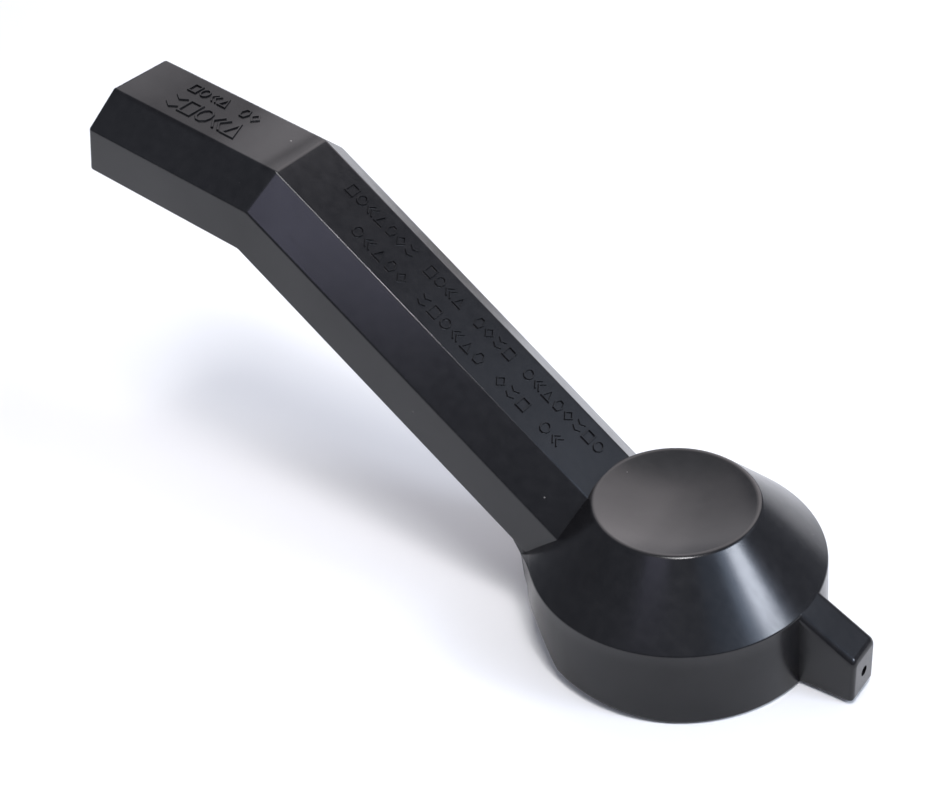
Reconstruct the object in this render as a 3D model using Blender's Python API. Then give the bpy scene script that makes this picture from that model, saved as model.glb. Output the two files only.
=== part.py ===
"""Press-to-turn valve lever with the pin, stem, washers, spring and guide inside its hub.

The frame: +Z is the turning axis, pointing up, and z = 0 is the face that the guide flange rests on.
The pointer tab points along +X, and the arm rises along -X. Lengths below are in millimetres.
"""

import math

import bmesh
import bpy

MM = 0.001
GAP = 0.3

# Hub: a skirt, a 45 degree cone and a dished top.
HUB_RADIUS = 38.0
HUB_FOOT_RADIUS = 38.8
SKIRT_HEIGHT = 22.0
RIM_RADIUS = 21.0
RIM_HEIGHT = SKIRT_HEIGHT + HUB_RADIUS - RIM_RADIUS
RIM_ROUND = 0.8
RIM_DROP = 0.3
DISH_DEPTH = 3.5
WALL = 3.0

# Skirt relief: a shallow slope that starts behind the axis, and a deep notch under the arm.
RELIEF_START_X = 17.0
RELIEF_ANGLE = math.radians(6.0)
NOTCH_HEIGHT = 12.0
NOTCH_EDGE_X = -22.5
NOTCH_FLANK = 9.0
NOTCH_STEP = 3.0
CUTTER_MARGIN = 5.0

# Arm: a six-sided channel in the plane y = 0, from the hub up to the bend and on to the pad's end.
ARM_FOOT = (-RIM_RADIUS, RIM_HEIGHT)
ARM_BEND = (-111.5, 107.7)
ARM_END = (-169.0, 118.8)
TOP_HALF_WIDTH = 9.75
ARM_HALF_WIDTH = 19.5
CHAMFER_DROP = 8.5
ARM_DEPTH = 22.0
SIDE_DRAFT = 0.3
END_DRAFT = math.radians(3.0)
ARM_WALL = 2.8
ARM_ROOT = 14.0
ARM_HOLLOW_ROOT = 20.0
ARM_RIBS = 5
PAD_RIBS = 2
RIB_THICKNESS = 2.0
RIB_SHOULDER = 1.0
RIB_SETBACK = 4.0
FIRST_RIB_SETBACK = 22.0
FIRST_RIB_SHARE = 1.2
GUSSET_INNER_Y = 17.0
GUSSET_OUTLINE = [(-31.0, 12.0), (-31.0, 21.0), (-36.0, 22.6), (-34.6, 15.0), (-34.2, 12.0)]

# Pointer tab.
TAB_HALF_WIDTH = 5.6
TAB_TIP_X = 52.7
TAB_TIP_HEIGHT = 13.8
TAB_FOOT_Z = 0.6
TAB_ROOT_X = 30.0
TAB_WALL = 2.4
TIP_HOLE_RADIUS = 1.1
TIP_HOLE_DEPTH = 1.2

# Cam ears and the pin that they turn on.
PIN_RADIUS = 2.0
PIN_Z = 19.5
EAR_INNER_Y = 8.0
EAR_OUTER_Y = 15.0
EAR_TOE_X = -12.0
EAR_HEEL_X = 10.0
EAR_FOOT_Z = 13.8
EAR_TOP_Z = 34.0
EAR_TOE_ROUND = 1.2
EAR_HEEL_CHAMFER = 3.0
PIN_BLIND_WALL = 1.5
WEB_X = 6.5
WEB_FOOT_Z = 17.0
WEB_TOP_Z = 20.5
WEB_OVERLAP = 1.0

# Guide flange, fixed to the valve's cover.
FLANGE_RADIUS = 30.0
FLANGE_THICKNESS = 3.0
FLANGE_CHAMFER = 0.6
FLANGE_FILLET = 0.5
CUP_INNER_RADIUS = 21.0
CUP_OUTER_RADIUS = 23.2
CUP_CEILING_Z = 8.6
CUP_CHAMFER = 1.0
GUIDE_TOP_Z = 10.5
NECK_OUTER_RADIUS = 12.2
NECK_FOOT_Z = 4.9
BORE_RADIUS = 8.3
COUNTERBORE_RADIUS = 10.2
COUNTERBORE_Z = 8.9
FLANGE_HOLES = 4
FLANGE_HOLE_RADIUS = 2.2
FLANGE_HOLE_CIRCLE = 26.6
SEAL_GROOVE_RADIUS = 22.7
SEAL_GROOVE_HALF_WIDTH = 0.95
SEAL_GROOVE_DEPTH = 1.5

# Stem, washers, seals and spring.
STEM_RADIUS = 8.0
KEY_RADIUS = 9.5
KEY_HALF_FLAT = 7.5
STEM_FOOT_Z = 0.6
COLLAR_TOP_Z = 2.4
COLLAR_RADIUS = 19.5
COLLAR_CHAMFER = 0.4
KEY_FOOT_Z = 9.2
KEY_OVERLAP = 0.2
STEM_TOP_Z = 25.0
STEM_CHAMFER = 1.0
SOCKET_HALF = 4.0
SOCKET_TOP_Z = 8.0
STEM_GROOVE_Z = 5.8
STEM_GROOVE_HALF_WIDTH = 0.9
STEM_GROOVE_RADIUS = 6.9
STEM_SEAL_RADIUS = 7.6
STEM_SEAL_SECTION = 0.6
FLANGE_SEAL_Z = 0.75
FLANGE_SEAL_SECTION = 0.7
SLIP_RADIUS = 19.0
SLIP_THICKNESS = 0.9
KEYED_RADIUS = 18.5
KEYED_THICKNESS = 1.5
SEAT_THICKNESS = 0.8
SEAT_INNER_RADIUS = 12.8
SEAT_RADIUS = 20.4
WIRE_RADIUS = 0.8
SPRING_SMALL_RADIUS = 13.5
SPRING_LARGE_RADIUS = 18.6
SPRING_TURNS = 3.0
STEPS_PER_TURN = 24
WIRE_SIDES = 8

ROUND = 64


def clear_scene():
    for obj in list(bpy.data.objects):
        bpy.data.objects.remove(obj, do_unlink=True)


def material(name, colour, roughness, metallic=0.0):
    made = bpy.data.materials.new(name)
    made.use_nodes = True
    shader = made.node_tree.nodes["Principled BSDF"]
    shader.inputs["Base Color"].default_value = (*colour, 1.0)
    shader.inputs["Roughness"].default_value = roughness
    shader.inputs["Metallic"].default_value = metallic
    return made


def new_object(name, points, faces, origin=(0.0, 0.0, 0.0), look=None):
    """An object from points in millimetres in the part's frame, with its own origin at a given point."""
    local = [[(p[i] - origin[i]) * MM for i in range(3)] for p in points]
    mesh = bpy.data.meshes.new(name)
    mesh.from_pydata(local, [], faces)
    work = bmesh.new()
    work.from_mesh(mesh)
    bmesh.ops.remove_doubles(work, verts=work.verts, dist=1e-7)
    bmesh.ops.recalc_face_normals(work, faces=work.faces)
    work.to_mesh(mesh)
    work.free()
    mesh.shade_smooth()
    mesh.set_sharp_from_angle(angle=math.radians(30))
    obj = bpy.data.objects.new(name, mesh)
    obj.location = [c * MM for c in origin]
    bpy.context.scene.collection.objects.link(obj)
    if look:
        mesh.materials.append(look)
    return obj


def helper(obj):
    """A cutter or an addition: it shapes another object and isn't a piece itself."""
    obj.hide_render = True
    obj.display_type = "WIRE"
    return obj


def combine(target, other, operation):
    step = target.modifiers.new(f"{operation.lower()}_{other.name}", "BOOLEAN")
    step.operation = operation
    step.object = other
    step.solver = "EXACT"
    return step


def turned(name, profile, origin=(0.0, 0.0, 0.0), look=None, segments=ROUND, closed_ring=False):
    """Spins (radius, z) points about the Z axis. A ring's profile closes on itself."""
    points = []
    rings = []
    for radius, z in profile:
        if radius < 1e-6:
            rings.append([len(points)])
            points.append((0.0, 0.0, z))
            continue
        rings.append(list(range(len(points), len(points) + segments)))
        for step in range(segments):
            turn = 2 * math.pi * step / segments
            points.append((radius * math.cos(turn), radius * math.sin(turn), z))
    faces = []
    pairs = list(zip(rings, rings[1:] + rings[:1] if closed_ring else rings[1:]))
    for low, high in pairs:
        for step in range(segments):
            after = (step + 1) % segments
            lower = [low[step % len(low)], low[after % len(low)]]
            upper = [high[after % len(high)], high[step % len(high)]]
            faces.append(list(dict.fromkeys(lower + upper)))
    faces = [face for face in faces if len(face) > 2]
    return new_object(name, points, faces, origin, look)


def lofted(name, sections, origin=(0.0, 0.0, 0.0), look=None):
    """Skins closed outlines with the same number of points, and caps both ends."""
    count = len(sections[0])
    points = [p for section in sections for p in section]
    faces = [list(range(count)), list(range(len(points) - count, len(points)))]
    for level in range(len(sections) - 1):
        base = level * count
        for step in range(count):
            after = (step + 1) % count
            faces.append([base + step, base + after, base + count + after, base + count + step])
    return new_object(name, points, faces, origin, look)


def block(name, low, high):
    outline = [(low[0], low[1]), (high[0], low[1]), (high[0], high[1]), (low[0], high[1])]
    return lofted(name, [[(x, y, z) for x, y in outline] for z in (low[2], high[2])])


def rod(name, centre, axis, radius, length, look=None, segments=24, origin=None):
    """A round bar along X or Y, from its centre outwards both ways."""
    sections = []
    for end in (-length / 2, length / 2):
        ring = []
        for step in range(segments):
            turn = 2 * math.pi * step / segments
            across = radius * math.cos(turn)
            z = centre[2] + radius * math.sin(turn)
            if axis == "X":
                ring.append((centre[0] + end, centre[1] + across, z))
            else:
                ring.append((centre[0] + across, centre[1] + end, z))
        sections.append(ring)
    return lofted(name, sections, origin or (0.0, 0.0, 0.0), look)


def arc(centre, radius, start, stop, steps):
    """Points on an arc in a (radius, z) profile, with angles in degrees."""
    turns = [math.radians(start + (stop - start) * step / steps) for step in range(steps + 1)]
    return [(centre[0] + radius * math.cos(t), centre[1] + radius * math.sin(t)) for t in turns]


# The arm's side view.


def unit(start, end):
    length = math.hypot(end[0] - start[0], end[1] - start[1])
    return ((end[0] - start[0]) / length, (end[1] - start[1]) / length)


def offset_line(start, end, depth):
    """The line under start-end by depth, square to it."""
    along = unit(start, end)
    down = (-along[1], along[0])
    return tuple((x + down[0] * depth, z + down[1] * depth) for x, z in (start, end))


def crossing(first, second):
    (ax, az), (bx, bz) = first
    (cx, cz), (dx, dz) = second
    rx, rz, sx, sz = bx - ax, bz - az, dx - cx, dz - cz
    t = ((cx - ax) * sz - (cz - az) * sx) / (rx * sz - rz * sx)
    return (ax + rx * t, az + rz * t)


def arm_track(depth, start_back, end_inset):
    """Side-view points at one depth under the arm's top: inside the hub, at the bend and at the end."""
    climb = offset_line(ARM_FOOT, ARM_BEND, depth)
    pad = offset_line(ARM_BEND, ARM_END, depth)
    along_climb = unit(*climb)
    along_pad = unit(*pad)
    start_x = climb[0][0] - along_climb[0] * start_back
    start_z = climb[0][1] - along_climb[1] * start_back
    reach = depth * math.tan(END_DRAFT) - end_inset
    end = (pad[1][0] + along_pad[0] * reach, pad[1][1] + along_pad[1] * reach)
    return [(start_x, start_z), crossing(climb, pad), end]


def arm_solid(name, inset, start_back, end_inset, extra_depth=0.0):
    """The arm's six-sided form, made smaller by inset on every side but the open bottom."""
    slope = math.atan2(CHAMFER_DROP, ARM_HALF_WIDTH - TOP_HALF_WIDTH)
    top_half = TOP_HALF_WIDTH - inset * math.tan(slope / 2)
    side_half = ARM_HALF_WIDTH - inset
    shoulder = CHAMFER_DROP + inset * math.tan((math.pi / 2 - slope) / 2)
    foot_half = side_half + SIDE_DRAFT
    levels = [(inset, top_half), (shoulder, side_half), (ARM_DEPTH + extra_depth, foot_half)]
    tracks = [arm_track(depth, start_back, end_inset) for depth, _ in levels]
    sections = []
    for place in range(3):
        left = [(tracks[i][place][0], -levels[i][1], tracks[i][place][1]) for i in range(3)]
        right = [(x, -y, z) for x, y, z in reversed(left)]
        sections.append(left + right)
    return lofted(name, sections)


def hub_outside(inset):
    """The hub's outside in (radius, z), from the skirt's foot to the dish's centre, moved in by inset."""
    cone_shift = inset * math.tan(math.radians(22.5))
    rim_z = RIM_HEIGHT - inset
    shares = (0.87, 0.65, 0.35, 0.0)
    dish = [(RIM_RADIUS * share, rim_z - DISH_DEPTH * (1 - share * share)) for share in shares]
    return [
        (HUB_FOOT_RADIUS - inset, 0.0),
        (HUB_RADIUS - inset, SKIRT_HEIGHT - cone_shift),
        (RIM_RADIUS - cone_shift, rim_z - RIM_DROP),
        (RIM_RADIUS - cone_shift - RIM_ROUND, rim_z - RIM_DROP),
    ] + dish


def hub_shell_profile():
    """The whole wall, from the ceiling's centre down the inside, round the foot and up the outside."""
    ceiling = RIM_HEIGHT - DISH_DEPTH - WALL
    cone_sum = HUB_RADIUS + SKIRT_HEIGHT - WALL * math.sqrt(2)
    skirt_inner = HUB_RADIUS - WALL
    inside = [
        (0.0, ceiling),
        (cone_sum - ceiling, ceiling),
        (skirt_inner, cone_sum - skirt_inner),
        (HUB_FOOT_RADIUS - WALL, 0.0),
    ]
    return inside + hub_outside(0.0)


def tab_solid(name, inset, foot_z, back_x):
    """The pointer tab: level below, sloping down to the tip above."""
    slope = (SKIRT_HEIGHT - TAB_TIP_HEIGHT) / (TAB_TIP_X - HUB_RADIUS)
    half = TAB_HALF_WIDTH - inset
    sections = []
    for x in (back_x, TAB_TIP_X - inset):
        crown = SKIRT_HEIGHT - (x - HUB_RADIUS) * slope - inset
        sections.append([(x, -half, foot_z), (x, half, foot_z), (x, half, crown), (x, -half, crown)])
    return lofted(name, sections)


def ear(name, side):
    """One cam: flat below at rest, rounded at the toe that it rocks on."""
    low, high = sorted((side * EAR_INNER_Y, side * EAR_OUTER_Y))
    round_cut = EAR_TOE_ROUND * (1 - math.sqrt(0.5))
    outline = [
        (EAR_TOE_X, EAR_TOP_Z),
        (EAR_TOE_X, EAR_FOOT_Z + EAR_TOE_ROUND),
        (EAR_TOE_X + round_cut, EAR_FOOT_Z + round_cut),
        (EAR_TOE_X + EAR_TOE_ROUND, EAR_FOOT_Z),
        (EAR_HEEL_X - EAR_HEEL_CHAMFER, EAR_FOOT_Z),
        (EAR_HEEL_X, EAR_FOOT_Z + EAR_HEEL_CHAMFER),
        (EAR_HEEL_X, EAR_TOP_Z),
    ]
    return lofted(name, [[(x, y, z) for x, z in outline] for y in (low, high)])


def arm_rib(name, x, slope_line):
    """A cross rib between the side walls, from under the top face to just above the open edge."""
    (ax, az), (bx, bz) = slope_line
    top = az + (x - ax) * (bz - az) / (bx - ax)
    half = ARM_HALF_WIDTH - ARM_WALL / 2
    crown = TOP_HALF_WIDTH - ARM_WALL / 2
    steep = math.hypot(bx - ax, bz - az) / abs(bx - ax)
    outline = [
        (-crown, top - ARM_WALL / 2 * steep),
        (-half, top - (CHAMFER_DROP + RIB_SHOULDER) * steep),
        (-half, top - (ARM_DEPTH - RIB_SETBACK) * steep),
        (half, top - (ARM_DEPTH - RIB_SETBACK) * steep),
        (half, top - (CHAMFER_DROP + RIB_SHOULDER) * steep),
        (crown, top - ARM_WALL / 2 * steep),
    ]
    faces = (x - RIB_THICKNESS / 2, x + RIB_THICKNESS / 2)
    return lofted(name, [[(face, y, z) for y, z in outline] for face in faces])


def combine_all(target, others, operation):
    """One Boolean with a whole group, so that the shapes meet in a single step."""
    group = bpy.data.collections.new(f"{target.name}_{operation.lower()}")
    bpy.context.scene.collection.children.link(group)
    for other in others:
        group.objects.link(helper(other))
        bpy.context.scene.collection.objects.unlink(other)
    step = target.modifiers.new(group.name, "BOOLEAN")
    step.operation = operation
    step.operand_type = "COLLECTION"
    step.collection = group
    step.solver = "EXACT"


def arm_ribs():
    ribs = []
    first_x = ARM_FOOT[0] - FIRST_RIB_SETBACK
    for index in range(ARM_RIBS):
        share = (index + FIRST_RIB_SHARE) / (ARM_RIBS + 1.0)
        x = first_x + (ARM_BEND[0] - first_x) * share
        ribs.append(arm_rib(f"arm_rib_{index + 1}", x, (ARM_FOOT, ARM_BEND)))
    for index in range(PAD_RIBS):
        x = ARM_BEND[0] + (ARM_END[0] - ARM_BEND[0]) * (index + 1) / (PAD_RIBS + 1)
        ribs.append(arm_rib(f"pad_rib_{index + 1}", x, (ARM_BEND, ARM_END)))
    return ribs


def ears_and_webs():
    made = []
    for side, label in ((-1, "near"), (1, "far")):
        made.append(ear(f"ear_{label}", side))
        for sign, where in ((-1, "toe"), (1, "heel")):
            x = sign * WEB_X
            ear_side = side * (EAR_OUTER_Y - WEB_OVERLAP)
            skirt_side = side * (HUB_RADIUS - WALL + WEB_OVERLAP)
            low = (x - RIB_THICKNESS / 2, min(ear_side, skirt_side), WEB_FOOT_Z)
            high = (x + RIB_THICKNESS / 2, max(ear_side, skirt_side), WEB_TOP_Z)
            made.append(block(f"web_{label}_{where}", low, high))
    return made


def gussets():
    """Carries each side wall of the arm down the skirt to the notch."""
    made = []
    for side, label in ((-1, "near"), (1, "far")):
        faces = (side * GUSSET_INNER_Y, side * (ARM_HALF_WIDTH + SIDE_DRAFT))
        made.append(lofted(f"gusset_{label}", [[(x, y, z) for x, z in GUSSET_OUTLINE] for y in faces]))
    return made


def make_handle(look):
    handle = turned("lever_handle", hub_shell_profile(), (0.0, 0.0, PIN_Z), look)
    core = [(0.0, -ARM_DEPTH), (HUB_FOOT_RADIUS - WALL / 2, -ARM_DEPTH)] + hub_outside(WALL / 2)
    arm = arm_solid("arm_shell", 0.0, ARM_ROOT, 0.0)
    hollow = arm_solid("arm_hollow", ARM_WALL, ARM_HOLLOW_ROOT, ARM_WALL, ARM_DEPTH)
    combine_all(arm, [hollow, turned("arm_core", core)], "DIFFERENCE")
    tab = tab_solid("tab_shell", 0.0, TAB_FOOT_Z, TAB_ROOT_X)
    pocket = tab_solid("tab_hollow", TAB_WALL, TAB_FOOT_Z - TAB_WALL, TAB_ROOT_X - TAB_WALL)
    combine_all(tab, [pocket, turned("tab_core", core)], "DIFFERENCE")
    combine_all(handle, [arm, tab] + arm_ribs() + ears_and_webs() + gussets(), "UNION")

    blind_end = -EAR_OUTER_Y + PIN_BLIND_WALL
    open_end = HUB_FOOT_RADIUS + WEB_OVERLAP
    bore_centre = (0.0, (blind_end + open_end) / 2, PIN_Z)
    bore = rod("pin_bore", bore_centre, "Y", PIN_RADIUS + GAP, open_end - blind_end)
    hole = (TAB_TIP_X, 0.0, (TAB_TIP_HEIGHT + TAB_FOOT_Z) / 2)
    tip_hole = rod("tip_hole", hole, "X", TIP_HOLE_RADIUS, 2 * TIP_HOLE_DEPTH, segments=16)
    combine_all(handle, [bore, tip_hole, relief_slope(), relief_notch()], "DIFFERENCE")
    return handle


def relief_slope():
    """Takes the rim off in a plane that climbs towards the arm."""
    far = -HUB_FOOT_RADIUS - CUTTER_MARGIN
    climb = (RELIEF_START_X - far) * math.tan(RELIEF_ANGLE)
    wide = HUB_FOOT_RADIUS + CUTTER_MARGIN
    outline = [
        (RELIEF_START_X, -0.001),
        (far, climb),
        (far, -CUTTER_MARGIN),
        (RELIEF_START_X, -CUTTER_MARGIN),
    ]
    return lofted("relief_slope", [[(x, y, z) for x, z in outline] for y in (-wide, wide)])


def relief_notch():
    """The deep notch in the rim under the arm, with leaning flanks."""
    far = -HUB_FOOT_RADIUS - CUTTER_MARGIN
    outline = [
        (NOTCH_EDGE_X + NOTCH_FLANK, -CUTTER_MARGIN),
        (NOTCH_EDGE_X + NOTCH_FLANK, NOTCH_STEP),
        (NOTCH_EDGE_X, NOTCH_HEIGHT),
        (far, NOTCH_HEIGHT),
        (far, -CUTTER_MARGIN),
    ]
    wide = HUB_FOOT_RADIUS + CUTTER_MARGIN
    return lofted("relief_notch", [[(x, y, z) for x, z in outline] for y in (-wide, wide)])


def make_pin(look):
    """Lies in the blind bore of the near ear and the open bore of the far one."""
    low = -EAR_OUTER_Y + PIN_BLIND_WALL + GAP
    high = EAR_OUTER_Y - GAP
    centre = (0.0, (low + high) / 2, PIN_Z)
    return rod("pivot_pin", centre, "Y", PIN_RADIUS, high - low, look, origin=(0.0, 0.0, PIN_Z))


def make_guide(look):
    profile = [
        (NECK_OUTER_RADIUS, NECK_FOOT_Z),
        (NECK_OUTER_RADIUS, CUP_CEILING_Z),
        (CUP_INNER_RADIUS, CUP_CEILING_Z),
        (CUP_INNER_RADIUS, 0.0),
        (SEAL_GROOVE_RADIUS - SEAL_GROOVE_HALF_WIDTH, 0.0),
        (SEAL_GROOVE_RADIUS - SEAL_GROOVE_HALF_WIDTH, SEAL_GROOVE_DEPTH),
        (SEAL_GROOVE_RADIUS + SEAL_GROOVE_HALF_WIDTH, SEAL_GROOVE_DEPTH),
        (SEAL_GROOVE_RADIUS + SEAL_GROOVE_HALF_WIDTH, 0.0),
        (FLANGE_RADIUS, 0.0),
        (FLANGE_RADIUS, FLANGE_THICKNESS - FLANGE_CHAMFER),
        (FLANGE_RADIUS - FLANGE_CHAMFER, FLANGE_THICKNESS),
        (CUP_OUTER_RADIUS + FLANGE_FILLET, FLANGE_THICKNESS),
        (CUP_OUTER_RADIUS, FLANGE_THICKNESS + FLANGE_FILLET),
        (CUP_OUTER_RADIUS, GUIDE_TOP_Z - CUP_CHAMFER),
        (CUP_OUTER_RADIUS - CUP_CHAMFER, GUIDE_TOP_Z),
        (COUNTERBORE_RADIUS, GUIDE_TOP_Z),
        (COUNTERBORE_RADIUS, COUNTERBORE_Z),
        (BORE_RADIUS, COUNTERBORE_Z),
        (BORE_RADIUS, NECK_FOOT_Z),
    ]
    guide = turned("guide_flange", profile, look=look, closed_ring=True)
    low = -1.0
    high = FLANGE_THICKNESS + 1.0
    bit = [(0.0, low), (FLANGE_HOLE_RADIUS, low), (FLANGE_HOLE_RADIUS, high), (0.0, high)]
    for index in range(FLANGE_HOLES):
        turn = math.radians(45 + 360 * index / FLANGE_HOLES)
        drill = turned(f"flange_drill_{index + 1}", bit, segments=20)
        drill.location.x = FLANGE_HOLE_CIRCLE * math.cos(turn) * MM
        drill.location.y = FLANGE_HOLE_CIRCLE * math.sin(turn) * MM
        combine(guide, helper(drill), "DIFFERENCE")
    return guide


def two_flat_ring(radius, half_flat, z, steps=36):
    """A circle cut by two flats at y = +half_flat and y = -half_flat, with a point at each corner."""
    corner = math.asin(half_flat / radius)
    ring = []
    for start, stop in ((-corner, corner), (math.pi - corner, math.pi + corner)):
        for step in range(steps // 2 + 1):
            turn = start + (stop - start) * step / (steps // 2)
            ring.append((radius * math.cos(turn), radius * math.sin(turn), z))
    return ring


def make_stem(look):
    profile = [
        (0.0, STEM_FOOT_Z),
        (COLLAR_RADIUS - COLLAR_CHAMFER, STEM_FOOT_Z),
        (COLLAR_RADIUS, STEM_FOOT_Z + COLLAR_CHAMFER),
        (COLLAR_RADIUS, COLLAR_TOP_Z),
        (STEM_RADIUS, COLLAR_TOP_Z),
        (STEM_RADIUS, STEM_GROOVE_Z - STEM_GROOVE_HALF_WIDTH),
        (STEM_GROOVE_RADIUS, STEM_GROOVE_Z - STEM_GROOVE_HALF_WIDTH),
        (STEM_GROOVE_RADIUS, STEM_GROOVE_Z + STEM_GROOVE_HALF_WIDTH),
        (STEM_RADIUS, STEM_GROOVE_Z + STEM_GROOVE_HALF_WIDTH),
        (STEM_RADIUS, KEY_FOOT_Z + KEY_OVERLAP),
        (0.0, KEY_FOOT_Z + KEY_OVERLAP),
    ]
    stem = turned("stem", profile, (0.0, 0.0, 0.0), look, segments=48)
    head = lofted(
        "stem_head",
        [
            two_flat_ring(KEY_RADIUS, KEY_HALF_FLAT, KEY_FOOT_Z),
            two_flat_ring(KEY_RADIUS, KEY_HALF_FLAT, STEM_TOP_Z - STEM_CHAMFER),
            two_flat_ring(KEY_RADIUS - STEM_CHAMFER, KEY_HALF_FLAT - STEM_CHAMFER, STEM_TOP_Z),
        ],
    )
    combine(stem, helper(head), "UNION")
    cross = rod("stem_cross_drill", (0.0, 0.0, PIN_Z), "Y", PIN_RADIUS + GAP, 4 * KEY_RADIUS)
    combine(stem, helper(cross), "DIFFERENCE")
    socket_low = (-SOCKET_HALF, -SOCKET_HALF, STEM_FOOT_Z - 1.0)
    socket = block("stem_socket", socket_low, (SOCKET_HALF, SOCKET_HALF, SOCKET_TOP_Z))
    combine(stem, helper(socket), "DIFFERENCE")
    return stem


def washer_profile(inner, outer, low, high):
    return [(inner, low), (outer, low), (outer, high), (inner, high)]


def make_washers(plastic, steel):
    slip_foot = GUIDE_TOP_Z + GAP
    slip_top = slip_foot + SLIP_THICKNESS
    slip = washer_profile(COUNTERBORE_RADIUS, SLIP_RADIUS, slip_foot, slip_top)
    turned("slip_washer", slip, look=plastic, segments=48, closed_ring=True)

    keyed_foot = slip_top + GAP
    keyed_top = keyed_foot + KEYED_THICKNESS
    disc = [(0.0, keyed_foot), (KEYED_RADIUS, keyed_foot), (KEYED_RADIUS, keyed_top), (0.0, keyed_top)]
    keyed = turned("keyed_washer", disc, look=steel, segments=48)
    hole = lofted(
        "keyed_hole",
        [
            two_flat_ring(KEY_RADIUS + GAP, KEY_HALF_FLAT + GAP, keyed_foot - 1.0),
            two_flat_ring(KEY_RADIUS + GAP, KEY_HALF_FLAT + GAP, keyed_top + 1.0),
        ],
    )
    combine(keyed, helper(hole), "DIFFERENCE")

    seat_foot = COLLAR_TOP_Z + GAP
    seat = washer_profile(SEAT_INNER_RADIUS, SEAT_RADIUS, seat_foot, seat_foot + SEAT_THICKNESS)
    turned("spring_seat", seat, look=steel, segments=48, closed_ring=True)


def make_seal(name, centre_radius, centre_z, section, look):
    ring = arc((centre_radius, centre_z), section, 0, 315, 7)
    return turned(name, ring, look=look, segments=48, closed_ring=True)


def make_spring(look):
    """A conical coil: wide on the seat, narrow under the guide's ceiling."""
    low = COLLAR_TOP_Z + SEAT_THICKNESS + 2 * GAP + WIRE_RADIUS
    high = CUP_CEILING_Z - GAP - WIRE_RADIUS
    steps = int(SPRING_TURNS * STEPS_PER_TURN)
    sections = []
    for step in range(steps + 1):
        share = step / steps
        turn = 2 * math.pi * SPRING_TURNS * share
        radius = SPRING_LARGE_RADIUS + (SPRING_SMALL_RADIUS - SPRING_LARGE_RADIUS) * share
        z = low + (high - low) * share
        ring = []
        for side in range(WIRE_SIDES):
            around = 2 * math.pi * side / WIRE_SIDES
            out = radius + WIRE_RADIUS * math.cos(around)
            ring.append((out * math.cos(turn), out * math.sin(turn), z + WIRE_RADIUS * math.sin(around)))
        sections.append(ring)
    return lofted("return_spring", sections, look=look)


def build():
    clear_scene()
    black = material("black_plastic", (0.018, 0.018, 0.019), 0.42)
    pale = material("pale_acetal", (0.78, 0.77, 0.72), 0.5)
    steel = material("stainless_steel", (0.62, 0.62, 0.63), 0.28, 1.0)
    spring_steel = material("spring_steel", (0.5, 0.5, 0.52), 0.35, 1.0)
    brass = material("brass", (0.72, 0.5, 0.22), 0.3, 1.0)
    rubber = material("black_rubber", (0.02, 0.02, 0.02), 0.7)
    make_handle(black)
    make_pin(steel)
    make_guide(brass)
    make_stem(brass)
    make_washers(pale, steel)
    make_seal("stem_seal", STEM_SEAL_RADIUS, STEM_GROOVE_Z, STEM_SEAL_SECTION, rubber)
    make_seal("flange_seal", SEAL_GROOVE_RADIUS, FLANGE_SEAL_Z, FLANGE_SEAL_SECTION, rubber)
    make_spring(spring_steel)


build()
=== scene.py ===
"""Looks for the press-to-turn valve lever.

The CAD model is the frame. Lengths in the shape code are in millimetres, in the CAD model's axes: +Z is the
turning axis, the pointer tab points along +X, and the arm rises along -X.
"""

import math

import bmesh
import bpy
from mathutils import Matrix, Vector


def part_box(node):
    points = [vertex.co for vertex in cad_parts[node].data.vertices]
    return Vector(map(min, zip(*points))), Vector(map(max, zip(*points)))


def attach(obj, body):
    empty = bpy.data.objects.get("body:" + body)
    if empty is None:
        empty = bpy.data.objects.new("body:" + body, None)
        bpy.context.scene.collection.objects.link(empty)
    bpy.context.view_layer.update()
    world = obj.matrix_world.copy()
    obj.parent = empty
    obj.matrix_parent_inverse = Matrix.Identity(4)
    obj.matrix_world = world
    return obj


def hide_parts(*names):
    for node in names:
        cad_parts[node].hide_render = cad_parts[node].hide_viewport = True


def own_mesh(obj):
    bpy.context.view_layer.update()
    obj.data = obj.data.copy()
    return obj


MM = 0.001

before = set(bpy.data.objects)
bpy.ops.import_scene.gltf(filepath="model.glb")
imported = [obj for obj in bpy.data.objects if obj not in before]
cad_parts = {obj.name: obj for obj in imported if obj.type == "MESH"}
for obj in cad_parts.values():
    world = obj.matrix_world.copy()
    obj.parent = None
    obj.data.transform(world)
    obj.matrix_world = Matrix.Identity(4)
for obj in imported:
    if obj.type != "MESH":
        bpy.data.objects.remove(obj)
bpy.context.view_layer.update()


def extent(node):
    """A CAD node's lowest and highest corners, in millimetres."""
    low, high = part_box(node)
    return low / MM, high / MM


LEVER_HIGH = extent("lever_handle")[1]
GUIDE_HIGH = extent("guide_flange")[1]
PIN_LOW, PIN_HIGH = extent("pivot_pin")
STEM_LOW, STEM_HIGH = extent("stem")
SLIP_LOW, SLIP_HIGH = extent("slip_washer")
KEYED_LOW, KEYED_HIGH = extent("keyed_washer")
SEAT_LOW, SEAT_HIGH = extent("spring_seat")
SPRING_LOW, SPRING_HIGH = extent("return_spring")

# Hub.
HUB_RADIUS = 38.0
HUB_FOOT_RADIUS = LEVER_HIGH.y
SKIRT_HEIGHT = 22.0
RIM_RADIUS = 21.0
RIM_HEIGHT = SKIRT_HEIGHT + HUB_RADIUS - RIM_RADIUS
CONE_ANGLE = math.radians(45.0)
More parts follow.
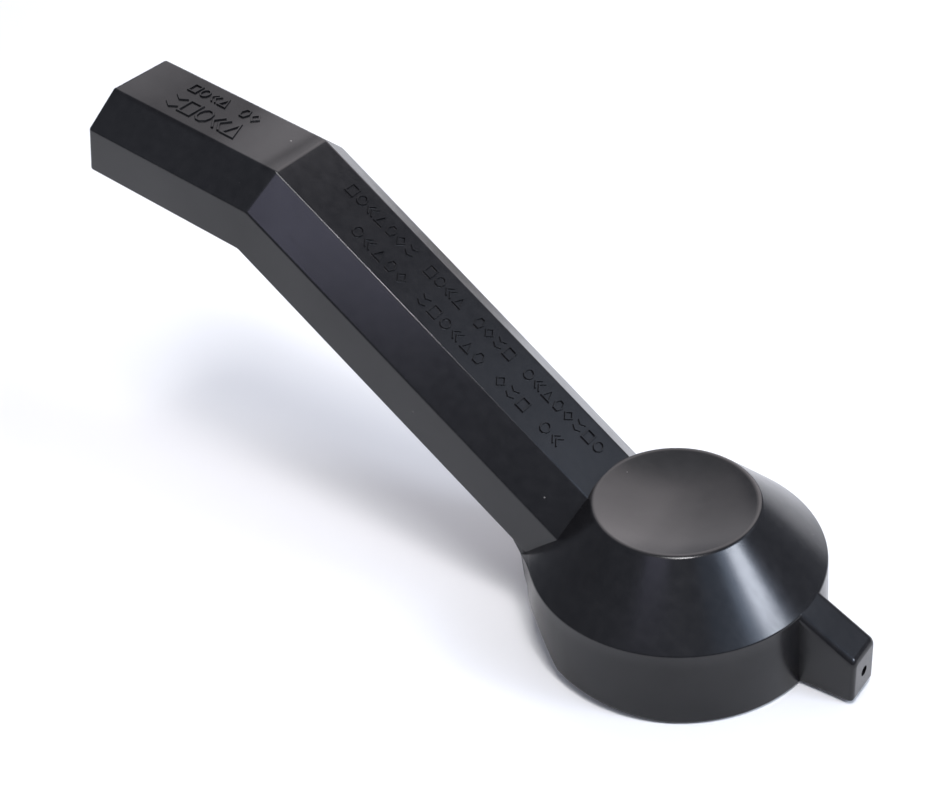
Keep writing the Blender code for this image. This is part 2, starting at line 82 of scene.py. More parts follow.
# Radius and height add up to this all over the cone.
CONE_SUM = SKIRT_HEIGHT + HUB_RADIUS
DISH_DEPTH = 3.5
DISH_RINGS = 20
WALL = 3.0
RIM_ROUND = 1.5
SHOULDER_ROUND = 0.9
LIP_ROUND = 0.8
INNER_ROUND = 1.5
HUB_STEPS = 180
ARC_STEPS = 5
SMALL_ARC_STEPS = 4
SMOOTH_ANGLE = 30.0

# The skirt's relief: a slope that climbs towards the arm, and a deep notch under the arm. The turns of the
# notch's flanks, in degrees, get finer steps.
RELIEF_START_X = 17.0
RELIEF_CLIMB = math.tan(math.radians(6.0))
RELIEF_TOP = 20.0
NOTCH_HEIGHT = 12.0
NOTCH_EDGE_X = -22.5
NOTCH_FLANK = 9.0
FLANK_TURNS = (104.0, 132.0)
FLANK_STEP = 1.0
RELIEF_SPREAD = 0.9

# Arm and press pad.
ARM_FOOT = Vector((-RIM_RADIUS, RIM_HEIGHT))
ARM_BEND = Vector((-111.5, 107.7))
ARM_END = Vector((-169.0, LEVER_HIGH.z))
# The pad's top face is where z + PAD_SLOPE * x = PAD_LEVEL.
PAD_SLOPE = (ARM_END.y - ARM_BEND.y) / (ARM_BEND.x - ARM_END.x)
PAD_LEVEL = ARM_BEND.y + PAD_SLOPE * ARM_BEND.x
TOP_HALF_WIDTH = 9.75
ARM_HALF_WIDTH = 19.5
CHAMFER_DROP = 8.5
ARM_DEPTH = 22.0
SIDE_DRAFT = 0.3
END_DRAFT = math.radians(3.0)
ARM_WALL = 2.8
ARM_ROOT = 14.0
ARM_HOLLOW_ROOT = 20.0
ARM_LIP_FLARE = 0.5
ARM_EDGE_ROUND = 1.1
ARM_LIP_ROUND = 0.7
ARM_HOLLOW_ROUNDS = (0.6, 0.1)
CREASE = 0.55
CREASE_STEPS = 4
END_ROUND = 1.1
PAD_STATIONS = 24
TOP_POINTS = 10
LEAST_ROUND = 0.1
SWELL_DEPTH = 0.1
SWELL_CENTRE = 4.4
SWELL_SPREAD = 1.8
TOP_FACE_DEPTH = 0.05
RIB_THICKNESS = 2.0
RIB_SETBACK = 4.0
RIB_SHOULDER = 1.0
ARM_RIB_X = (-56.7, -68.1, -79.5, -91.0, -102.4)
PAD_RIB_X = (-130.7, -149.8)

# Where the arm's side walls run into the skirt.
FLARE_FOOT_REACH = 1.9
FLARE_TOP_REACH = 2.6
FLARE_INNER_Y = 14.5
FLARE_OUTER_Y = 27.5
FLARE_BOTTOM_Z = 12.0
FLARE_STEPS = 20
FLARE_LEVELS = 8
FLARE_FACE_SUNK = 0.02
FLARE_BACK_SUNK = 0.03
FLARE_BACK_INSETS = (1.5, 5.0)
FLARE_FOOT_INSET = 2.0
GUSSET_INNER_Y = 17.1
GUSSET_OUTLINE = ((-31.0, 12.1, 0), (-31.0, 21.0, 0), (-37.0, 23.9, 0), (-34.9, 20.0, 4), (-34.3, 12.1, 0))
JOIN_OVERLAP = 0.05
CUT_PAST = 1.0

# Pointer tab.
TAB_HALF_WIDTH = 5.6
TAB_TIP_X = LEVER_HIGH.x
TAB_TIP_HEIGHT = 13.8
TAB_FOOT_Z = 0.6
TAB_ROOT_X = 30.0
TAB_WALL = 2.4
TAB_EDGE_ROUND = 1.8
TAB_FOOT_ROUND = 0.8
TAB_END_ROUND = 1.3
TAB_POCKET_ROUNDS = (0.5, 0.2, 0.4)
TIP_HOLE_RADIUS = 1.4
TIP_HOLE_DEPTH = 1.2

# Cam ears, webs and the pin's bore.
PIN_RADIUS = 2.0
PIN_Z = (PIN_LOW.z + PIN_HIGH.z) / 2
PIN_END_ROUND = 0.4
BORE_GAP = 0.3
BORE_START_Y = PIN_LOW.y - BORE_GAP
EAR_INNER_Y = 8.0
EAR_OUTER_Y = 15.0
EAR_TOE_X = -12.0
EAR_HEEL_X = 10.0
EAR_FOOT_Z = 13.8
EAR_TOP_Z = 34.0
EAR_TOE_ROUND = 1.2
EAR_HEEL_ROUND = 3.0
WEB_X = 6.5
WEB_FOOT_Z = 17.0
WEB_TOP_Z = 20.5
WEB_THICKNESS = 2.0
WEB_OVERLAP = 1.0

# Raised marks on the arm's and the pad's top faces.
MARK_HEIGHT = 0.4
MARK_SINK = 0.3
MARK_STRIDE = 3
# A bead's section: how far across, in half widths, and how high.
BEAD = ((-1, -MARK_SINK), (-1, 0.0), (-0.5, MARK_HEIGHT), (0.5, MARK_HEIGHT), (1, 0.0), (1, -MARK_SINK))


# Mesh helpers.


def new_piece(name, points, faces):
    """A mesh object from points in millimetres, smooth but for its real edges."""
    mesh = bpy.data.meshes.new(name)
    mesh.from_pydata([[c * MM for c in p] for p in points], [], faces)
    finish_mesh(mesh)
    obj = bpy.data.objects.new(name, mesh)
    bpy.context.scene.collection.objects.link(obj)
    return obj


def finish_mesh(mesh):
    """Turns every face outwards and marks the edges that stay crisp."""
    work = bmesh.new()
    work.from_mesh(mesh)
    bmesh.ops.remove_doubles(work, verts=work.verts, dist=1e-7)
    bmesh.ops.recalc_face_normals(work, faces=work.faces)
    work.to_mesh(mesh)
    work.free()
    mesh.shade_smooth()
    mesh.set_sharp_from_angle(angle=math.radians(SMOOTH_ANGLE))


def rounded(corners, steps=ARC_STEPS):
    """A closed outline from (x, y, radius) corners, each with its own arc."""
    points = []
    count = len(corners)
    for index, (x, y, radius) in enumerate(corners):
        here = Vector((x, y))
        if radius <= 0:
            points.append(here)
            continue
        back = (Vector(corners[index - 1][:2]) - here).normalized()
        ahead = (Vector(corners[(index + 1) % count][:2]) - here).normalized()
        half = back.angle(ahead) / 2
        centre = here + (back + ahead).normalized() * radius / math.sin(half)
        start = here + back * radius / math.tan(half) - centre
        stop = here + ahead * radius / math.tan(half) - centre
        first = math.atan2(start.y, start.x)
        sweep = (math.atan2(stop.y, stop.x) - first + math.pi) % (2 * math.pi) - math.pi
        for step in range(steps + 1):
            turn = first + sweep * step / steps
            points.append(centre + radius * Vector((math.cos(turn), math.sin(turn))))
    return points


def even_turns(steps):
    return [2 * math.pi * step / steps for step in range(steps)]


def spun(name, profile, turns=None, ring=False):
    """Spins (radius, z) points about the Z axis. A ring's profile closes on itself."""
    turns = turns or even_turns(HUB_STEPS)
    points = []
    rings = []
    for radius, z in profile:
        if radius < 1e-6:
            rings.append([len(points)])
            points.append((0.0, 0.0, z))
            continue
        rings.append(list(range(len(points), len(points) + len(turns))))
        points += [(radius * math.cos(turn), radius * math.sin(turn), z) for turn in turns]
    faces = []
    for low, high in zip(rings, rings[1:] + rings[:1] if ring else rings[1:]):
        for step in range(len(turns)):
            after = (step + 1) % len(turns)
            lower = [low[step % len(low)], low[after % len(low)]]
            upper = [high[after % len(high)], high[step % len(high)]]
            face = list(dict.fromkeys(lower + upper))
            if len(face) > 2:
                faces.append(face)
    return new_piece(name, points, faces)


def lofted(name, sections):
    """Skins closed outlines with the same number of points, and caps both ends."""
    count = len(sections[0])
    points = [p for section in sections for p in section]
    faces = [list(range(count)), list(range(len(points) - count, len(points)))]
    for level in range(len(sections) - 1):
        base = level * count
        for step in range(count):
            after = (step + 1) % count
            faces.append([base + step, base + after, base + count + after, base + count + step])
    return new_piece(name, points, faces)


def block(name, low, high):
    outline = [(low[0], low[1]), (high[0], low[1]), (high[0], high[1]), (low[0], high[1])]
    return lofted(name, [[(x, y, z) for x, y in outline] for z in (low[2], high[2])])


def combine(target, others, operation):
    """One exact Boolean with a group of objects, written back into the target's mesh."""
    group = bpy.data.collections.new("operands")
    bpy.context.scene.collection.children.link(group)
    for other in others:
        group.objects.link(other)
    step = target.modifiers.new(operation, "BOOLEAN")
    step.operation = operation
    step.operand_type = "COLLECTION"
    step.collection = group
    step.solver = "EXACT"
    bpy.context.view_layer.update()
    shaped = target.evaluated_get(bpy.context.evaluated_depsgraph_get())
    mesh = bpy.data.meshes.new_from_object(shaped)
    target.modifiers.clear()
    target.data = mesh
    for other in others:
        bpy.data.objects.remove(other, do_unlink=True)
    bpy.data.collections.remove(group)
    finish_mesh(mesh)
    return target


def even_shading(obj):
    """Keeps flat faces flat next to their rounded edges."""
    step = obj.modifiers.new("even_shading", "WEIGHTED_NORMAL")
    step.keep_sharp = True
    step.weight = 100
    return obj


# The lever.


def relief(x):
    """How far the skirt's foot is lifted at x."""
    slope = max(0.0, (RELIEF_START_X - x) * RELIEF_CLIMB)
    flank = (NOTCH_EDGE_X + NOTCH_FLANK - x) / NOTCH_FLANK
    flank = min(1.0, max(0.0, flank))
    return slope + (max(NOTCH_HEIGHT, slope) - slope) * flank


def soft_relief(x):
    """The relief with its corners rounded off, as a mean over a short run."""
    offsets = (-1.0, -0.6, -0.2, 0.2, 0.6, 1.0)
    return sum(relief(x + RELIEF_SPREAD * offset) for offset in offsets) / len(offsets)


def hub_outside(inset):
    """The hub's outside as (radius, z, corner radius), from the skirt's foot to the dish's centre."""
    shift = inset * math.tan(CONE_ANGLE / 2)
    rim_z = RIM_HEIGHT - inset
    outline = [
        (HUB_FOOT_RADIUS - inset, 0.0, LIP_ROUND),
        (HUB_RADIUS - inset, SKIRT_HEIGHT - shift, SHOULDER_ROUND),
        (RIM_RADIUS - shift, rim_z, RIM_ROUND),
    ]
    for ring in range(DISH_RINGS - 1, -1, -1):
        share = ring / DISH_RINGS
        outline.append((RIM_RADIUS * share, rim_z - DISH_DEPTH * (1 - share * share), 0.0))
    return outline


def hub_shell():
    ceiling = RIM_HEIGHT - DISH_DEPTH - WALL
    cone_sum = CONE_SUM - WALL * math.sqrt(2)
    skirt_inner = HUB_RADIUS - WALL
    inside = [
        (0.0, ceiling, 0.0),
        (cone_sum - ceiling, ceiling, INNER_ROUND),
        (skirt_inner, cone_sum - skirt_inner, INNER_ROUND),
        (HUB_FOOT_RADIUS - WALL, 0.0, LIP_ROUND / 2),
    ]
    profile = rounded(inside + hub_outside(0.0))
    low, high = FLANK_TURNS
    turns = {round(360.0 * step / HUB_STEPS, 3) for step in range(HUB_STEPS)}
    turns = {t for t in turns if not (low < t < high or 360 - high < t < 360 - low)}
    for step in range(int((high - low) / FLANK_STEP) + 1):
        turns |= {low + FLANK_STEP * step, 360 - low - FLANK_STEP * step}
    hub = spun("lever_body", profile, [math.radians(t) for t in sorted(turns)])
    for vertex in hub.data.vertices:
        share = 1 - vertex.co.z / MM / RELIEF_TOP
        if share > 0:
            vertex.co.z += soft_relief(vertex.co.x / MM) * share * MM
    return hub


def hub_core(name):
    """Fills the hub to the middle of its wall, so that the arm and the tab stop there."""
    profile = [Vector((0.0, -ARM_DEPTH)), Vector((HUB_FOOT_RADIUS - WALL / 2, -ARM_DEPTH))]
    profile += [Vector(corner[:2]) for corner in hub_outside(WALL / 2)]
    return spun(name, profile)


def offset_line(start, end, depth):
    along = (end - start).normalized()
    down = Vector((-along.y, along.x)) * depth
    return start + down, end + down


def crossing(first, second):
    """Where two lines, each given by two points, meet."""
    start, end = first
    other_start, other_end = second
    run, other = end - start, other_end - other_start
    across = (other_start.x - start.x) * other.y - (other_start.y - start.y) * other.x
    return start + run * (across / (run.x * other.y - run.y * other.x))


def arm_track(depth, start_back, end_inset):
    """Side-view points at one depth under the arm's top: inside the hub, at the bend and at the end."""
    climb = offset_line(ARM_FOOT, ARM_BEND, depth)
    pad = offset_line(ARM_BEND, ARM_END, depth)
    start = climb[0] - (climb[1] - climb[0]).normalized() * start_back
    reach = depth * math.tan(END_DRAFT) - end_inset
    end = pad[1] + (pad[1] - pad[0]).normalized() * reach
    return start, crossing(climb, pad), end


def arm_outline(inset, lip, rounds):
    """(y, depth) points of the arm's six-sided section, moved in by inset, down to the given lip."""
    edge_round, lip_round = rounds
    slope = math.atan2(CHAMFER_DROP, ARM_HALF_WIDTH - TOP_HALF_WIDTH)
    top_half = TOP_HALF_WIDTH - inset * math.tan(slope / 2)
    side_half = ARM_HALF_WIDTH - inset
    shoulder = CHAMFER_DROP + inset * math.tan((math.pi / 2 - slope) / 2)
    near = [(-half, depth, lip_round) for half, depth in lip]
    near += [(-side_half, shoulder, edge_round), (-top_half, inset, edge_round)]
    top = top_half - edge_round
    across = [(top * (2 * i / TOP_POINTS - 1), inset, 0.0) for i in range(1, TOP_POINTS)]
    far = [(-y, depth, r) for y, depth, r in reversed(near)]
    return rounded(near + across + far)


def swell(y, depth, run):
    """A shallow hollow across the pad, just past the bend."""
    if depth > TOP_FACE_DEPTH:
        return depth
    edge = 1 - (y / TOP_HALF_WIDTH) ** 4
    return depth + SWELL_DEPTH * edge * math.exp(-(((run - SWELL_CENTRE) / SWELL_SPREAD) ** 2))


def arm_loft(name, inset, lip, rounds, start_back, end_inset):
    """The arm's form, with a rounded crease at the bend and rounded edges round its end."""
    outline = arm_outline(inset, lip, rounds)
    sections = []

    def add(place, outline_now, shape=lambda y, depth: depth):
        section = []
        for y, depth in outline_now:
            depth = shape(y, depth)
            point = place(*arm_track(depth, start_back, end_inset))
            section.append((point.x, y, point.y))
        sections.append(section)

    add(lambda start, bend, end: start, outline)
    for step in range(CREASE_STEPS + 1):
        share = step / CREASE_STEPS

        def crease(start, bend, end, share=share):
            first = bend + (start - bend).normalized() * CREASE
            last = bend + (end - bend).normalized() * CREASE
            return first.lerp(bend, share).lerp(bend.lerp(last, share), share)

        add(crease, outline)
    for step in range(1, PAD_STATIONS + 1):
        share = step / PAD_STATIONS

        def along(start, bend, end, share=share):
            direction = (end - bend).normalized()
            return (bend + direction * CREASE).lerp(end - direction * END_ROUND, share)

        run = CREASE + ((ARM_END - ARM_BEND).length - CREASE - END_ROUND) * share
        add(along, outline, lambda y, depth, run=run: swell(y, depth, run))
    for step in range(1, ARC_STEPS + 1):
        turn = math.radians(90.0 * step / ARC_STEPS)
        back = END_ROUND * (1 - math.sin(turn))
        narrow = END_ROUND * (1 - math.cos(turn))

        def ending(start, bend, end, back=back):
            return end + (bend - end).normalized() * back

        tight = tuple(max(radius - narrow, LEAST_ROUND) for radius in rounds)
        smaller_lip = [(half - narrow, depth - (narrow if depth <= ARM_DEPTH else 0)) for half, depth in lip]
        add(ending, arm_outline(inset + narrow, smaller_lip, tight))
    return lofted(name, sections)


def make_arm():
    foot_half = ARM_HALF_WIDTH + SIDE_DRAFT
    edges = (ARM_EDGE_ROUND, ARM_LIP_ROUND)
    body = arm_loft("arm", 0.0, [(foot_half, ARM_DEPTH)], edges, ARM_ROOT, 0.0)
    inner_half = foot_half - ARM_WALL
    mouth = [
        (inner_half + ARM_LIP_FLARE, 2 * ARM_DEPTH),
        (inner_half + ARM_LIP_FLARE, ARM_DEPTH),
        (inner_half, ARM_DEPTH - ARM_LIP_FLARE),
    ]
    hollow = arm_loft("arm_hollow", ARM_WALL, mouth, ARM_HOLLOW_ROUNDS, ARM_HOLLOW_ROOT, ARM_WALL)
    return combine(body, [hollow, hub_core("arm_core")], "DIFFERENCE")


def tab_loft(name, inset, foot_z, back_x, rounds):
    """The pointer tab: level below, sloping down to the tip above."""
    slope = (SKIRT_HEIGHT - TAB_TIP_HEIGHT) / (TAB_TIP_X - HUB_RADIUS)
    edge_round, foot_round, end_round = rounds
    tip = TAB_TIP_X - inset
    sections = []
    stations = [(back_x, 0.0)]
    for step in range(ARC_STEPS + 1):
        turn = math.radians(90.0 * step / ARC_STEPS)
        stations.append((tip - end_round * (1 - math.sin(turn)), end_round * (1 - math.cos(turn))))
    for x, narrow in stations:
        half = TAB_HALF_WIDTH - inset - narrow
        crown = SKIRT_HEIGHT - (x - HUB_RADIUS) * slope - inset - narrow
        foot = foot_z + narrow
        top = max(edge_round - narrow, LEAST_ROUND)
        low = max(foot_round - narrow, LEAST_ROUND)
        corners = [(-half, foot, low), (half, foot, low), (half, crown, top), (-half, crown, top)]
        sections.append([(x, y, z) for y, z in rounded(corners)])
    return lofted(name, sections)


def make_tab():
    edges = (TAB_EDGE_ROUND, TAB_FOOT_ROUND, TAB_END_ROUND)
    body = tab_loft("tab", 0.0, TAB_FOOT_Z, TAB_ROOT_X, edges)
    pocket_foot = TAB_FOOT_Z - TAB_WALL
    pocket = tab_loft("tab_pocket", TAB_WALL, pocket_foot, TAB_ROOT_X - TAB_WALL, TAB_POCKET_ROUNDS)
    return combine(body, [pocket, hub_core("tab_core")], "DIFFERENCE")


def cross_rib(name, x, line):
    """A rib between the arm's side walls, from under the top face to just above the open edge."""
    start, end = line
    top = start.y + (x - start.x) * (end.y - start.y) / (end.x - start.x)
    steep = (end - start).length / abs(end.x - start.x)
    half = ARM_HALF_WIDTH - ARM_WALL / 2
    crown = TOP_HALF_WIDTH - ARM_WALL / 2
    foot = top - (ARM_DEPTH - RIB_SETBACK) * steep
    shoulder = top - (CHAMFER_DROP + RIB_SHOULDER) * steep
    corners = [(-half, foot), (half, foot), (half, shoulder)]
    corners += [(crown, top - ARM_WALL / 2 * steep), (-crown, top - ARM_WALL / 2 * steep), (-half, shoulder)]
    faces = (x - RIB_THICKNESS / 2, x + RIB_THICKNESS / 2)
    return lofted(name, [[(face, y, z) for y, z in corners] for face in faces])


def cam_ears():
    made = []
    for side, label in ((-1, "near"), (1, "far")):
        corners = [
            (EAR_TOE_X, EAR_TOP_Z, 0.0),
            (EAR_TOE_X, EAR_FOOT_Z, EAR_TOE_ROUND),
            (EAR_HEEL_X, EAR_FOOT_Z, EAR_HEEL_ROUND),
            (EAR_HEEL_X, EAR_TOP_Z, 0.0),
        ]
        outline = rounded(corners, 8)
        faces = (side * EAR_INNER_Y, side * EAR_OUTER_Y)
        made.append(lofted(f"ear_{label}", [[(x, y, z) for x, z in outline] for y in faces]))
        for sign, where in ((-1, "toe"), (1, "heel")):
            x = sign * WEB_X
            reach = (side * (EAR_OUTER_Y - WEB_OVERLAP), side * (HUB_RADIUS - WALL + WEB_OVERLAP))
            low = (x - WEB_THICKNESS / 2, min(reach), WEB_FOOT_Z)
            high = (x + WEB_THICKNESS / 2, max(reach), WEB_TOP_Z)
            made.append(block(f"web_{label}_{where}", low, high))
    return made


def rod(name, centre, axis, profile, steps=48):
    """A turned bar along X or Y from a (radius, distance) profile about its centre."""
    made = spun(name, profile, even_turns(steps))
    turn = Matrix.Rotation(math.radians(90), 4, "Y" if axis == "X" else "X")
    made.data.transform(Matrix.Translation(Vector(centre) * MM) @ turn)
    return made


def plain_bar(radius, length):
    return [(0.0, -length / 2), (radius, -length / 2), (radius, length / 2), (0.0, length / 2)]


def flare_outline(y, wall):
    """A flare's (-x, z) outline at y: up its hollow face, then back down along the cone."""
    beside = max(y, wall)
    skirt_x = math.sqrt(HUB_RADIUS**2 - beside**2)
    swing = ((FLARE_OUTER_Y - beside) / (FLARE_OUTER_Y - wall)) ** 2
    face_x = skirt_x - JOIN_OVERLAP
    top_x = face_x + FLARE_TOP_REACH * swing
    top_z = CONE_SUM - math.hypot(top_x, beside) - FLARE_FACE_SUNK
    outline = [(skirt_x - FLARE_FOOT_INSET, FLARE_BOTTOM_Z)]
    for level in range(FLARE_LEVELS + 1):
        share = level / FLARE_LEVELS
        reach = FLARE_FOOT_REACH + (FLARE_TOP_REACH - FLARE_FOOT_REACH) * share**2
        outline.append((face_x + reach * swing, FLARE_BOTTOM_Z + (top_z - FLARE_BOTTOM_Z) * share))
    for x in ((top_x + skirt_x) / 2, *[skirt_x - inset for inset in FLARE_BACK_INSETS]):
        outline.append((x, CONE_SUM - math.hypot(x, beside) - FLARE_BACK_SUNK))
    return outline


def root_flares():
    """Blends each side wall of the arm into the skirt: a gusset in the wall, and a hollow flare beside it."""
    made = []
    wall = ARM_HALF_WIDTH + SIDE_DRAFT
    gusset = rounded(GUSSET_OUTLINE)
    for side, label in ((-1, "near"), (1, "far")):
        faces = (side * GUSSET_INNER_Y, side * (wall - JOIN_OVERLAP))
        made.append(lofted(f"gusset_{label}", [[(x, y, z) for x, z in gusset] for y in faces]))
        sections = []
        for step in range(FLARE_STEPS + 1):
            y = FLARE_INNER_Y + (FLARE_OUTER_Y - FLARE_INNER_Y) * step / FLARE_STEPS
            sections.append([(-x, side * y, z) for x, z in flare_outline(y, wall)])
        made.append(lofted(f"flare_{label}", sections))
    return made


def make_lever():
    lever = hub_shell()
    ribs = [cross_rib(f"arm_rib_{i}", x, (ARM_FOOT, ARM_BEND)) for i, x in enumerate(ARM_RIB_X)]
    ribs += [cross_rib(f"pad_rib_{i}", x, (ARM_BEND, ARM_END)) for i, x in enumerate(PAD_RIB_X)]
    combine(lever, [make_arm(), make_tab()] + ribs + cam_ears() + root_flares(), "UNION")
    bore_end = HUB_FOOT_RADIUS + CUT_PAST
    bore_centre = (0.0, (BORE_START_Y + bore_end) / 2, PIN_Z)
    bore = rod("bore", bore_centre, "Y", plain_bar(PIN_RADIUS + BORE_GAP, bore_end - BORE_START_Y))
    hole_centre = (TAB_TIP_X, 0.0, (TAB_TIP_HEIGHT + TAB_FOOT_Z) / 2)
    hole = rod("tip_hole", hole_centre, "X", plain_bar(TIP_HOLE_RADIUS, 2 * TIP_HOLE_DEPTH))
    combine(lever, [bore, hole], "DIFFERENCE")
    even_shading(lever)
    return lever


# Raised marks.


def mark_outlines():
    """Plain geometric outlines in a box one unit wide and one high: (points, closed)."""
    ring = [(0.5 + 0.5 * math.cos(t), 0.5 + 0.5 * math.sin(t)) for t in even_turns(10)]
    return [
        [(ring, True)],
        [([(0.0, 0.0), (0.5, 1.0), (1.0, 0.0)], True)],
        [([(0.5, 0.0), (1.0, 0.5), (0.5, 1.0), (0.0, 0.5)], True)],
        [([(0.0, 0.0), (1.0, 0.0), (1.0, 1.0), (0.0, 1.0)], True)],
        [([(0.0, 0.0), (0.5, 0.5), (0.0, 1.0)], False), ([(0.5, 0.0), (1.0, 0.5), (0.5, 1.0)], False)],
        [([(0.25, 0.0), (0.75, 0.0), (1.0, 0.5), (0.75, 1.0), (0.25, 1.0), (0.0, 0.5)], True)],
        [([(0.0, 0.25), (0.5, 0.0), (1.0, 0.25)], False), ([(0.0, 1.0), (0.5, 0.75), (1.0, 1.0)], False)],
    ]


def bead(path, closed, width):
    """Points and faces of a raised bead along a flat path: (across, along, height)."""
    count = len(path)
    points = []
    for index, here in enumerate(path):
        here = Vector(here)
        before = Vector(path[index - 1]) if closed or index else here
        after = Vector(path[(index + 1) % count]) if closed or index < count - 1 else here
        back = (here - before).normalized() if before != here else (after - here).normalized()
        ahead = (after - here).normalized() if after != here else back
        across = Vector((-(back + ahead).y, (back + ahead).x)).normalized()
        mitre = 1 / max(0.5, across.dot(Vector((-ahead.y, ahead.x))))
        for side, height in BEAD:
            points.append((*(here + across * side * width / 2 * mitre), height))
    faces = []
    sides = len(BEAD)
    for index in range(count if closed else count - 1):
        base, ahead = sides * index, sides * ((index + 1) % count)
        for side in range(sides):
            after = (side + 1) % sides
            faces.append([base + side, base + after, ahead + after, ahead + side])
    if not closed:
        faces.append(list(range(sides)))
        faces.append(list(range(sides * (count - 1), sides * count)))
    return points, faces


def mark_row(name, face, start, groups, pitch, size, across, width, first=0):
    """A row of raised outlines along one top face, in groups with a gap of one mark between them."""
    origin, end = face
    along = (end - origin).normalized()
    up = Vector((along.y, -along.x))
    if up.y < 0:
        up = -up
    mark_length, mark_height = size
    outlines = mark_outlines()
    points = []
    faces = []
    place = start
    index = first
    for group in groups:
        for _ in range(group):
            for path, closed in outlines[index % len(outlines)]:
                flat = [(place + x * mark_length, across + y * mark_height) for x, y in path]
                bead_points, bead_faces = bead(flat, closed, width)
                base = len(points)
                for run, y, height in bead_points:
                    spot = origin + along * run + up * height
                    points.append((spot.x, y, spot.y))
                faces += [[base + i for i in f] for f in bead_faces]
            index += MARK_STRIDE
            place += pitch
        place += pitch
    return new_piece(name, points, faces)


def make_marks():
    """Two rows along the arm and two on the pad. The last number picks the first outline."""
    arm = (ARM_FOOT, ARM_BEND)
    pad = (ARM_BEND, ARM_END)
    return [
        mark_row("arm_marks_far", arm, 4.5, (8, 4, 4, 7), 3.7, (2.5, 3.4), 2.7, 0.55),
        mark_row("arm_marks_near", arm, 13.3, (2, 3, 6, 5), 4.1, (2.6, 3.5), -5.7, 0.55, 4),
        mark_row("pad_marks_large", pad, 18.5, (5,), 5.2, (4.0, 5.6), -6.1, 0.85, 1),
        mark_row("pad_marks_small", pad, 18.8, (2, 4), 3.6, (2.5, 3.3), 3.0, 0.6, 2),
    ]


# Materials. A noise's scale is per metre, and a relief's depth is in metres.

# Most of a noise's values lie between these.
NOISE_SPAN = (0.3, 0.7)


class Look:
    """A node material that is being wired up."""

    def __init__(self, name):
        self.material = bpy.data.materials.new(name)
        self.material.use_nodes = True
        self.tree = self.material.node_tree
        self.shader = self.tree.nodes["Principled BSDF"]
        self.place = self.node("ShaderNodeTexCoord").outputs["Object"]

    def node(self, kind, **settings):
        made = self.tree.nodes.new(kind)
        for key, value in settings.items():
            setattr(made, key, value)
        return made

    def link(self, source, target):
        self.tree.links.new(source, target)

    def fill(self, node, values):
        """Links each value that is a socket, and sets the others."""
        for key, value in values.items():
            if isinstance(value, bpy.types.NodeSocket):
                self.link(value, node.inputs[key])
            else:
                node.inputs[key].default_value = value
        return node

    def noise(self, scale, detail=2.0, roughness=0.5, place=None):
        made = self.node("ShaderNodeTexNoise")
        self.fill(made, {"Vector": place or self.place, "Scale": scale, "Detail": detail})
        made.inputs["Roughness"].default_value = roughness
        return made.outputs["Fac"]

    def spread(self, value, low, high, to_low=0.0, to_high=1.0):
        """Maps low..high to to_low..to_high, and stays level beyond."""
        made = self.node("ShaderNodeMapRange", clamp=True)
        self.fill(made, {"Value": value, "From Min": low, "From Max": high})
        self.fill(made, {"To Min": to_low, "To Max": to_high})
        return made.outputs["Result"]

    def band(self, along, middle, inner, outer, strength):
        """Full strength within inner millimetres of the middle, gone beyond outer."""
        away = self.maths("ABSOLUTE", self.maths("SUBTRACT", along, middle * MM))
        return self.spread(away, inner * MM, outer * MM, strength, 0.0)

    def maths(self, operation, first, second=0.0):
        made = self.node("ShaderNodeMath", operation=operation)
        return self.fill(made, {0: first, 1: second}).outputs[0]

    def mix(self, share, first, second):
        made = self.node("ShaderNodeMix", data_type="RGBA")
        self.fill(made, {0: share, 6: first, 7: second})
        return made.outputs[2]

    def stretched(self, scale):
        made = self.node("ShaderNodeMapping")
        self.fill(made, {"Vector": self.place, "Scale": scale})
        return made.outputs["Vector"]

    def round_place(self):
        """(distance from the Z axis, 0, z): rings round the axis become lines."""
        parts = self.node("ShaderNodeSeparateXYZ")
        self.link(self.place, parts.inputs[0])
        x, y, z = parts.outputs
        square = self.maths("ADD", self.maths("MULTIPLY", x, x), self.maths("MULTIPLY", y, y))
        made = self.node("ShaderNodeCombineXYZ")
        self.fill(made, {0: self.maths("SQRT", square), 2: z})
        return made.outputs[0]

    def bump(self, heights):
        """Adds (height, depth in metres, strength) reliefs one on another."""
        normal = None
        for height, distance, strength in heights:
            made = self.node("ShaderNodeBump")
            self.fill(made, {"Height": height, "Distance": distance, "Strength": strength})
            if normal:
                self.link(normal, made.inputs["Normal"])
            normal = made.outputs["Normal"]
        self.link(normal, self.shader.inputs["Normal"])

    def set(self, **values):
        """Sets or links the shader's inputs. An underscore stands for a space."""
        for key, value in values.items():
            self.fill(self.shader, {key.replace("_", " "): value})


# Where the plastic is duller, or glossier below zero: a band's middle, its inner and outer half width, and
# the drop in specular level.
SINK_BAND = (-114.8, 0.4, 2.6, 0.18)
SINK_SKEW = -0.06
THUMBED_BAND = (-146.0, 10.0, 28.0, 0.26)
POLISHED_BAND = (-124.5, 3.0, 10.0, -0.16)
BEND_BAND = (-106.0, 8.0, 24.0, 0.12)
CROWN_BAND = (0.0, TOP_HALF_WIDTH - 0.4, TOP_HALF_WIDTH, 1.0)
PAD_TOP_DEPTHS = (1.1, 0.3)
# Painted shade: the lever loses gloss below the skirt's top, so the skirt and the tab reflect the floor darker,
# as if in the hub's shadow.
SKIRT_FADE = (18.0, 22.5)
SKIRT_DULL = 0.16


